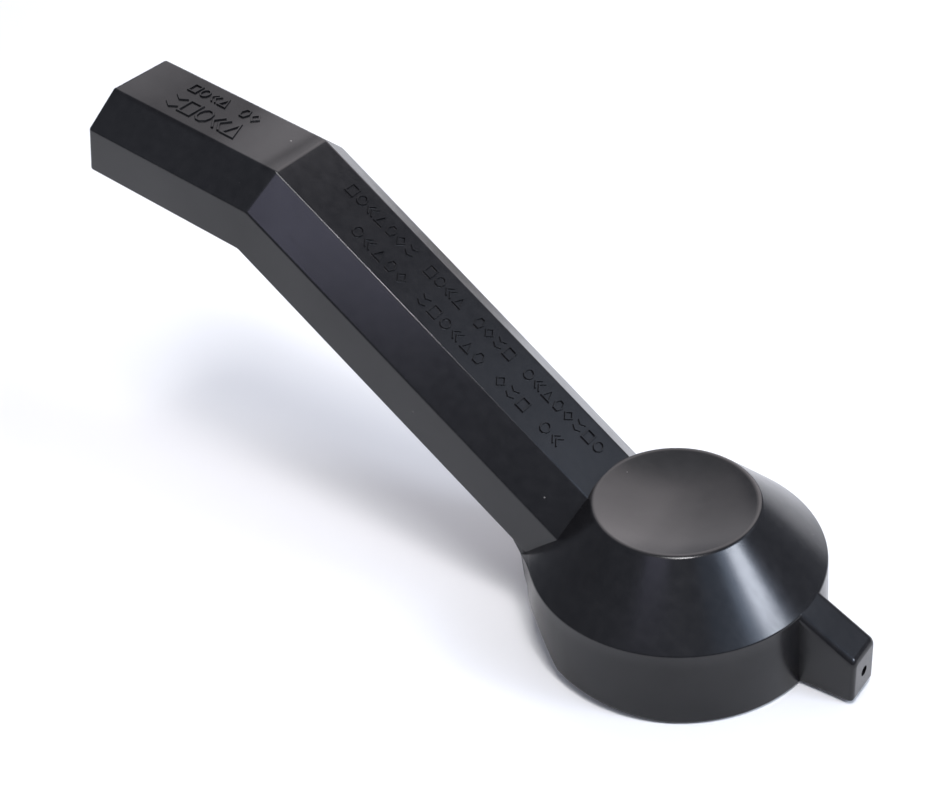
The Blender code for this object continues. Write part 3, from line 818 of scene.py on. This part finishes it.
def lost_gloss(look):
    """How far the specular level drops: on the pad's top, on the arm's top by the bend, and on the skirt, where
    the drop is painted shade.
    """
    parts = look.node("ShaderNodeSeparateXYZ")
    look.link(look.place, parts.inputs[0])
    x, y, z = parts.outputs
    above = look.maths("ADD", z, look.maths("MULTIPLY", x, PAD_SLOPE))
    low, high = ((PAD_LEVEL - depth) * MM for depth in PAD_TOP_DEPTHS)
    on_pad = look.spread(above, low, high)
    skewed = look.maths("ADD", x, look.maths("MULTIPLY", y, SINK_SKEW))
    handled = look.maths("ADD", look.band(skewed, *SINK_BAND), look.band(x, *THUMBED_BAND))
    pad = look.maths("MULTIPLY", on_pad, look.maths("ADD", handled, look.band(x, *POLISHED_BAND)))
    crown = look.maths("MULTIPLY", look.band(x, *BEND_BAND), look.band(y, *CROWN_BAND))
    arm = look.maths("MULTIPLY", crown, look.maths("SUBTRACT", 1.0, on_pad))
    # Painted shade: a lower gloss on the skirt darkens its reflection of the floor.
    skirt = look.spread(z, SKIRT_FADE[0] * MM, SKIRT_FADE[1] * MM, SKIRT_DULL, 0.0)
    return look.maths("ADD", look.maths("ADD", pad, skirt), arm)


def black_plastic():
    """Slightly uneven moulded plastic with fine dust and rubbed edges."""
    look = Look("moulded_black_plastic")
    grain = look.noise(2600.0, 3.0, 0.6)
    flow = look.noise(45.0, 2.0, 0.5)
    mottle = look.noise(380.0, 4.0, 0.6)
    rubbed = look.noise(700.0, 3.0, 0.6, look.stretched((0.1, 1.0, 0.35)))
    specks = look.node("ShaderNodeTexVoronoi", feature="F1")
    look.fill(specks, {"Vector": look.place, "Scale": 95.0})
    dust = look.spread(specks.outputs["Distance"], 0.018, 0.03, 1.0, 0.0)
    edge = look.node("ShaderNodeNewGeometry")
    wear = look.spread(edge.outputs["Pointiness"], 0.54, 0.64, 0.0, 0.35)
    patches = look.spread(mottle, *NOISE_SPAN)
    plain = look.mix(patches, (0.0050, 0.0048, 0.0056, 1), (0.0088, 0.0084, 0.0092, 1))
    worn = look.mix(wear, plain, (0.016, 0.016, 0.017, 1))
    look.set(Base_Color=look.mix(dust, worn, (0.18, 0.17, 0.16, 1)))
    uneven = look.spread(mottle, *NOISE_SPAN, -0.012, 0.012)
    base = look.maths("ADD", look.spread(flow, *NOISE_SPAN, 0.19, 0.23), uneven)
    rough = look.maths("ADD", base, look.spread(rubbed, 0.5, 0.75, 0.0, 0.04))
    look.set(Roughness=look.maths("ADD", rough, look.maths("MULTIPLY", dust, 0.4)))
    look.set(IOR=1.46)
    cloud = look.spread(look.noise(32.0, 3.0, 0.5), *NOISE_SPAN, 0.44, 0.56)
    look.set(Specular_IOR_Level=look.maths("SUBTRACT", cloud, lost_gloss(look)))
    look.bump([(flow, 0.0004, 0.12), (mottle, 0.00002, 0.12), (grain, 0.000016, 0.38)])
    return look.material


def turned_metal(name, dark, bright, tool_pitch=2600.0, rough=(0.2, 0.36)):
    """Metal with the fine rings that a lathe leaves."""
    look = Look(name)
    rings = look.noise(tool_pitch, 2.0, 0.6, look.round_place())
    blotch = look.noise(160.0, 4.0, 0.6)
    scratches = look.noise(1500.0, 2.0, 0.7, look.stretched((0.2, 1.0, 1.0)))
    edge = look.node("ShaderNodeNewGeometry")
    wear = look.spread(edge.outputs["Pointiness"], 0.52, 0.6)
    tint = look.mix(look.spread(blotch, *NOISE_SPAN), (*dark, 1), (*bright, 1))
    look.set(Base_Color=look.mix(wear, tint, (*[min(1.0, c * 1.2) for c in bright], 1)))
    turned = look.spread(rings, *NOISE_SPAN, *rough)
    worn = look.maths("ADD", turned, look.spread(blotch, 0.5, 0.8, 0.0, 0.12))
    look.set(Roughness=worn, Metallic=1.0)
    look.bump([(rings, 0.00003, 0.5), (scratches, 0.00001, 0.3)])
    return look.material


def pale_acetal():
    """Turned natural plastic."""
    look = Look("natural_acetal")
    grain = look.noise(1800.0, 3.0, 0.6)
    cloud = look.noise(120.0, 3.0, 0.5)
    rings = look.noise(1500.0, 2.0, 0.6, look.round_place())
    patches = look.spread(cloud, *NOISE_SPAN)
    look.set(Base_Color=look.mix(patches, (0.70, 0.68, 0.62, 1), (0.80, 0.79, 0.74, 1)))
    look.set(Roughness=look.spread(rings, *NOISE_SPAN, 0.38, 0.55))
    look.set(Subsurface_Weight=0.15, Subsurface_Scale=0.001)
    look.bump([(rings, 0.00002, 0.3), (grain, 0.00001, 0.3)])
    return look.material


def nitrile_rubber():
    """Greased seal rubber."""
    look = Look("nitrile_rubber")
    grain = look.noise(2600.0, 3.0, 0.6)
    grease = look.noise(220.0, 3.0, 0.5)
    look.set(Base_Color=look.mix(grease, (0.012, 0.012, 0.012, 1), (0.028, 0.028, 0.028, 1)))
    look.set(Roughness=look.spread(grease, 0.35, 0.65, 0.42, 0.75))
    look.bump([(grain, 0.00002, 0.4)])
    return look.material


def paint(obj, look):
    """One material over the whole piece, in a named slot."""
    obj.data.materials.clear()
    obj.data.materials.append(look)
    for polygon in obj.data.polygons:
        polygon.material_index = 0


# Pieces inside the hub. A seal is its ring's radius, its height and its section's radius. The guide's groove is
# its two radii and its depth, and the stem's groove is its two heights and its radius.

GUIDE_RADIUS = 30.0
FLANGE_THICKNESS = 3.0
CUP_INNER_RADIUS = 21.0
CUP_OUTER_RADIUS = 23.2
CUP_CEILING_Z = 8.6
NECK_OUTER_RADIUS = 12.2
NECK_FOOT_Z = 4.9
GUIDE_BORE_RADIUS = 8.3
COUNTERBORE_RADIUS = 10.2
COUNTERBORE_Z = 8.9
FLANGE_HOLE_RADIUS = 2.2
FLANGE_HOLE_CIRCLE = 26.6
FLANGE_HOLE_BEVEL = 0.4
SEAL_GROOVE = (21.75, 23.65, 1.5)
FLANGE_SEAL = (22.7, 0.75, 0.7)
SLIP_WASHER_EDGE = 0.2
SEAT_INNER_RADIUS = 12.8
SEAT_EDGE = 0.15
STEM_RADIUS = 8.0
COLLAR_TOP_Z = 2.4
COLLAR_RADIUS = 19.5
KEY_RADIUS = 9.5
KEY_HALF_FLAT = 7.5
KEY_FOOT_Z = 9.2
SHANK_TOP_Z = KEY_FOOT_Z + 0.2
KEY_PLAY = 0.3
KEY_BEVEL = 0.3
KEY_END_BEVEL = 1.0
STEM_GROOVE = (4.9, 6.7, 6.9)
STEM_SEAL = (7.6, 5.8, 0.6)
SOCKET_HALF = 4.0
SOCKET_TOP_Z = 8.0
WIRE_RADIUS = 0.8
SPRING_SMALL_RADIUS = 13.5
SPRING_LARGE_RADIUS = 18.6
SPRING_TURNS = 3.0
SPRING_STEPS = 64


def two_flats(radius, half_flat, z, steps=64):
    """A circle cut by two flats at y = +half_flat and y = -half_flat."""
    corner = math.asin(half_flat / radius)
    outline = []
    for start in (-corner, math.pi - corner):
        for step in range(steps // 2 + 1):
            turn = start + 2 * corner * step / (steps // 2)
            outline.append((radius * math.cos(turn), radius * math.sin(turn), z))
    return outline


def make_guide():
    groove_in, groove_out, groove_top = SEAL_GROOVE
    corners = [
        (NECK_OUTER_RADIUS, NECK_FOOT_Z, 0.3),
        (NECK_OUTER_RADIUS, CUP_CEILING_Z, 0.3),
        (CUP_INNER_RADIUS, CUP_CEILING_Z, 0.4),
        (CUP_INNER_RADIUS, 0.0, 0.2),
        (groove_in, 0.0, 0.1),
        (groove_in, groove_top, 0.2),
        (groove_out, groove_top, 0.2),
        (groove_out, 0.0, 0.1),
        (GUIDE_RADIUS, 0.0, 0.3),
        (GUIDE_RADIUS, FLANGE_THICKNESS, 0.6),
        (CUP_OUTER_RADIUS, FLANGE_THICKNESS, 0.6),
        (CUP_OUTER_RADIUS, GUIDE_HIGH.z, 0.9),
        (COUNTERBORE_RADIUS, GUIDE_HIGH.z, 0.3),
        (COUNTERBORE_RADIUS, COUNTERBORE_Z, 0.2),
        (GUIDE_BORE_RADIUS, COUNTERBORE_Z, 0.2),
        (GUIDE_BORE_RADIUS, NECK_FOOT_Z, 0.2),
    ]
    guide = spun("guide_body", rounded(corners, SMALL_ARC_STEPS), ring=True)
    drills = []
    radius = FLANGE_HOLE_RADIUS
    sunk = radius + FLANGE_HOLE_BEVEL
    top = FLANGE_THICKNESS + CUT_PAST
    bit = [(0.0, -CUT_PAST), (radius, -CUT_PAST), (radius, FLANGE_THICKNESS - FLANGE_HOLE_BEVEL)]
    bit += [(sunk, FLANGE_THICKNESS), (sunk, top), (0.0, top)]
    for index in range(4):
        turn = math.radians(45 + 90 * index)
        drill = spun(f"drill_{index}", bit, even_turns(40))
        shift = Vector((math.cos(turn), math.sin(turn), 0.0)) * FLANGE_HOLE_CIRCLE * MM
        drill.data.transform(Matrix.Translation(shift))
        drills.append(drill)
    return even_shading(combine(guide, drills, "DIFFERENCE"))


def make_stem():
    groove_low, groove_high, groove_radius = STEM_GROOVE
    foot = STEM_LOW.z
    corners = [
        (0.0, foot, 0.0),
        (COLLAR_RADIUS, foot, 0.4),
        (COLLAR_RADIUS, COLLAR_TOP_Z, 0.25),
        (STEM_RADIUS, COLLAR_TOP_Z, 0.3),
        (STEM_RADIUS, groove_low, 0.1),
        (groove_radius, groove_low, 0.2),
        (groove_radius, groove_high, 0.2),
        (STEM_RADIUS, groove_high, 0.1),
        (STEM_RADIUS, SHANK_TOP_Z, 0.0),
        (0.0, SHANK_TOP_Z, 0.0),
    ]
    stem = spun("stem_body", rounded(corners, SMALL_ARC_STEPS), even_turns(128))
    levels = [(KEY_BEVEL, KEY_FOOT_Z), (0.0, KEY_FOOT_Z + KEY_BEVEL)]
    levels += [(0.0, STEM_HIGH.z - KEY_END_BEVEL), (KEY_END_BEVEL, STEM_HIGH.z)]
    head = [two_flats(KEY_RADIUS - cut, KEY_HALF_FLAT - cut, z) for cut, z in levels]
    combine(stem, [lofted("stem_head", head)], "UNION")
    cross = rod("cross_drill", (0.0, 0.0, PIN_Z), "Y", plain_bar(PIN_RADIUS + BORE_GAP, 4 * KEY_RADIUS))
    half = SOCKET_HALF
    socket = block("socket", (-half, -half, foot - CUT_PAST), (half, half, SOCKET_TOP_Z))
    return even_shading(combine(stem, [cross, socket], "DIFFERENCE"))


def washer(name, inner, outer, low, high, edge):
    corners = [(inner, low, edge), (outer, low, edge), (outer, high, edge), (inner, high, edge)]
    return spun(name, rounded(corners, SMALL_ARC_STEPS), ring=True)


def make_keyed_washer():
    low, high = KEYED_LOW.z, KEYED_HIGH.z
    radius = KEYED_HIGH.x
    corners = [(0.0, low, 0.0), (radius, low, 0.35), (radius, high, 0.2), (0.0, high, 0.0)]
    disc = spun("keyed_washer_body", rounded(corners, SMALL_ARC_STEPS))
    wide, narrow = 0.25, 0.15
    levels = [(wide, low - CUT_PAST), (wide, low), (0.0, low + wide)]
    levels += [(0.0, high - narrow), (narrow, high), (narrow, high + CUT_PAST)]
    hole = [two_flats(KEY_RADIUS + KEY_PLAY + cut, KEY_HALF_FLAT + KEY_PLAY + cut, z) for cut, z in levels]
    return even_shading(combine(disc, [lofted("keyed_hole", hole)], "DIFFERENCE"))


def make_seal(name, radius, z, section):
    ring = [(radius + section * math.cos(t), z + section * math.sin(t)) for t in even_turns(24)]
    return spun(name, ring, even_turns(160), ring=True)


def make_spring():
    """A conical coil, wide at the collar below and narrow at the guide above."""
    low = SPRING_LOW.z + WIRE_RADIUS
    high = SPRING_HIGH.z - WIRE_RADIUS
    steps = int(SPRING_TURNS * SPRING_STEPS)
    sections = []
    for step in range(steps + 1):
        share = step / steps
        turn = 2 * math.pi * SPRING_TURNS * share
        radius = SPRING_LARGE_RADIUS + (SPRING_SMALL_RADIUS - SPRING_LARGE_RADIUS) * share
        z = low + (high - low) * share
        section = []
        for around in even_turns(16):
            out = radius + WIRE_RADIUS * math.cos(around)
            section.append((out * math.cos(turn), out * math.sin(turn), z + WIRE_RADIUS * math.sin(around)))
        sections.append(section)
    return lofted("spring_wire", sections)


def make_pin():
    half = (PIN_HIGH.y - PIN_LOW.y) / 2
    corners = [(0.0, -half, 0.0), (PIN_RADIUS, -half, PIN_END_ROUND)]
    corners += [(PIN_RADIUS, half, PIN_END_ROUND), (0.0, half, 0.0)]
    centre = (0.0, (PIN_LOW.y + PIN_HIGH.y) / 2, PIN_Z)
    return rod("pin_body", centre, "Y", rounded(corners, SMALL_ARC_STEPS), 64)


def carry(obj, body, node, look):
    """Lets obj stand for one CAD node and move with its body."""
    paint(obj, look)
    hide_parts(node)
    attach(obj, body)
    return obj


def build_object():
    black = black_plastic()
    brass = turned_metal("turned_brass", (0.52, 0.35, 0.13), (0.72, 0.50, 0.21))
    guide_brass = turned_metal("faced_brass", (0.50, 0.33, 0.12), (0.70, 0.48, 0.20), 1900.0, (0.22, 0.4))
    steel = turned_metal("stamped_steel", (0.52, 0.52, 0.53), (0.66, 0.66, 0.67), 1200.0, (0.2, 0.34))
    pin_steel = turned_metal("ground_steel", (0.56, 0.56, 0.57), (0.66, 0.66, 0.67), 3000.0, (0.14, 0.26))
    wire = turned_metal("drawn_wire", (0.42, 0.42, 0.44), (0.56, 0.56, 0.58), 900.0, (0.25, 0.42))
    rubber = nitrile_rubber()

    carry(make_lever(), "lever", "lever_handle", black)
    for marks in make_marks():
        paint(marks, black)
        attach(marks, "lever")
    carry(make_pin(), "lever", "pivot_pin", pin_steel)
    carry(make_stem(), "spindle", "stem", brass)
    carry(make_guide(), "guide", "guide_flange", guide_brass)
    slip_size = (COUNTERBORE_RADIUS, SLIP_HIGH.x, SLIP_LOW.z, SLIP_HIGH.z)
    slip = washer("slip_washer_body", *slip_size, SLIP_WASHER_EDGE)
    carry(even_shading(slip), "guide", "slip_washer", pale_acetal())
    carry(make_keyed_washer(), "wear_washer", "keyed_washer", steel)
    seat = washer("spring_seat_body", SEAT_INNER_RADIUS, SEAT_HIGH.x, SEAT_LOW.z, SEAT_HIGH.z, SEAT_EDGE)
    carry(even_shading(seat), "spindle", "spring_seat", steel)
    carry(make_seal("stem_seal_ring", *STEM_SEAL), "spindle", "stem_seal", rubber)
    carry(make_seal("flange_seal_ring", *FLANGE_SEAL), "guide", "flange_seal", rubber)
    spring = carry(make_spring(), "guide", "return_spring", wire)
    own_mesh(spring)


# Floor, lights and camera, in metres.

FLOOR_HALF_SIDE = 6.0
FLOOR_Z = -0.0002
CARD_Z = 0.0005
CARD_CORNERS = ((-0.36, 0.13), (-0.10, 0.11), (-0.18, 0.25), (-0.36, 0.25))
LIGHT_CENTRE = Vector((-0.04, 0.0, 0.05))
LIGHT_DISTANCE = 1.6
BEND_PLACE = Vector((ARM_BEND.x, 0.0, ARM_BEND.y)) * MM


def panel(
    name,
    azimuth,
    elevation,
    width,
    height,
    radiance,
    colour=(1, 1, 1),
    mirrored=True,
    centre=LIGHT_CENTRE,
    distance=LIGHT_DISTANCE,
):
    """A soft panel at an azimuth from +X towards +Y. Width and height are the angles that it fills.

    All angles are in degrees.
    """
    turn, rise = math.radians(azimuth), math.radians(elevation)
    towards = Vector((math.cos(turn) * math.cos(rise), math.sin(turn) * math.cos(rise), math.sin(rise)))
    data = bpy.data.lights.new(name, "AREA")
    data.shape = "RECTANGLE"
    data.size = 2 * distance * math.tan(math.radians(width / 2))
    data.size_y = 2 * distance * math.tan(math.radians(height / 2))
    data.energy = radiance * math.pi * data.size * data.size_y
    data.color = colour
    light = bpy.data.objects.new(name, data)
    light.location = centre + towards * distance
    light.rotation_euler = towards.to_track_quat("Z", "Y").to_euler()
    light.visible_glossy = mirrored
    bpy.context.scene.collection.objects.link(light)
    return light


def sheet(name, corners, height, look):
    """A flat sheet of the studio."""
    mesh = bpy.data.meshes.new(name)
    mesh.from_pydata([(x, y, height) for x, y in corners], [], [(0, 1, 2, 3)])
    mesh.materials.append(look.material)
    made = bpy.data.objects.new(name, mesh)
    bpy.context.scene.collection.objects.link(made)
    return made


def make_floor():
    look = Look("pale_floor")
    pale = look.mix(look.noise(3.0), (0.825, 0.825, 0.825, 1), (0.865, 0.865, 0.865, 1))
    look.set(Base_Color=pale, Roughness=0.9, Specular_IOR_Level=0.0)
    side = FLOOR_HALF_SIDE
    sheet("floor", ((-side, -side), (side, -side), (side, side), (-side, side)), FLOOR_Z, look)


def make_card():
    """A dark card on the floor behind the arm, seen in the gloss only: painted shade, which darkens the floor
    where the arm's chamfer reflects it.
    """
    look = Look("dark_card")
    # Painted shade: the card's dark colour stands in for shaded floor in the arm's reflection.
    dark = look.mix(look.noise(30.0), (0.09, 0.08, 0.07, 1), (0.12, 0.11, 0.10, 1))
    look.set(Base_Color=dark, Roughness=0.9)
    card = sheet("flag", CARD_CORNERS, CARD_Z, look)
    card.visible_camera = False
    card.visible_diffuse = False
    card.visible_shadow = False


def make_world():
    world = bpy.data.worlds.new("studio")
    world.use_nodes = True
    background = world.node_tree.nodes["Background"]
    background.inputs["Color"].default_value = (0.88, 0.95, 1.12, 1)
    background.inputs["Strength"].default_value = 0.28
    bpy.context.scene.world = world


def make_lights():
    """Each panel: azimuth, elevation, width, height, radiance and colour."""
    panel("key", 15.0, 33.0, 12.5, 14.0, 16.5, (0.93, 0.98, 1.08))
    panel("key_glow", 12.0, 36.0, 25.0, 22.0, 2.4, (0.75, 0.95, 1.3))
    panel("key_halo", 4.0, 39.0, 50.0, 30.0, 0.42, (0.7, 0.95, 1.35))
    panel("lamp", -45.0, 75.0, 14.0, 29.0, 12.5)
    panel("edge_lamp", -20.0, 54.0, 9.0, 7.0, 40.0, (1.0, 0.95, 1.02), centre=BEND_PLACE, distance=0.4)
    panel("front", -88.0, 50.0, 80.0, 10.0, 0.14, (0.85, 0.97, 1.2))
    panel("bend_fill", -66.0, 42.0, 20.0, 12.0, 1.6, (0.9, 0.88, 1.25), centre=BEND_PLACE, distance=0.45)
    panel("back", 101.0, 30.0, 26.0, 52.0, 0.62, (1.07, 0.98, 1.0))
    panel("back_middle", 104.0, 31.0, 36.0, 54.0, 0.5, (1.06, 0.98, 1.0))
    panel("back_wide", 110.0, 32.0, 52.0, 56.0, 0.4, (1.05, 0.99, 1.0))
    panel("back_left", 112.0, 38.0, 50.0, 50.0, 0.64, (1.05, 0.99, 1.02))
    panel("back_high", 115.0, 68.0, 40.0, 14.0, 0.55)
    panel("back_right", 49.0, 37.0, 14.0, 17.0, 0.8, (0.85, 0.98, 1.2))
    panel("overhead", 0.0, 89.0, 100.0, 100.0, 0.17, (1.03, 1.0, 0.96), mirrored=False)


# The camera's place and axes, fitted to the object's outline in the photo.
CAMERA_PLACE = (0.1666, -0.2709, 0.3052)
CAMERA_RIGHT = Vector((0.80053, 0.59327, -0.08480))
CAMERA_UP = Vector((-0.29544, 0.51378, 0.80546))
CAMERA_BACK = Vector((0.52141, -0.61974, 0.58657))
CAMERA_LENS = 62.526


def make_camera():
    data = bpy.data.cameras.new("camera")
    data.sensor_width = 36.0
    data.lens = CAMERA_LENS
    data.clip_start = 0.01
    data.clip_end = 50.0
    camera = bpy.data.objects.new("camera", data)
    turn = Matrix((CAMERA_RIGHT, CAMERA_UP, CAMERA_BACK)).transposed()
    camera.matrix_world = Matrix.Translation(CAMERA_PLACE) @ turn.to_4x4()
    bpy.context.scene.collection.objects.link(camera)
    bpy.context.scene.camera = camera


build_object()
make_world()
make_floor()
make_lights()
make_card()
make_camera()
bpy.context.scene.view_settings.view_transform = "Standard"
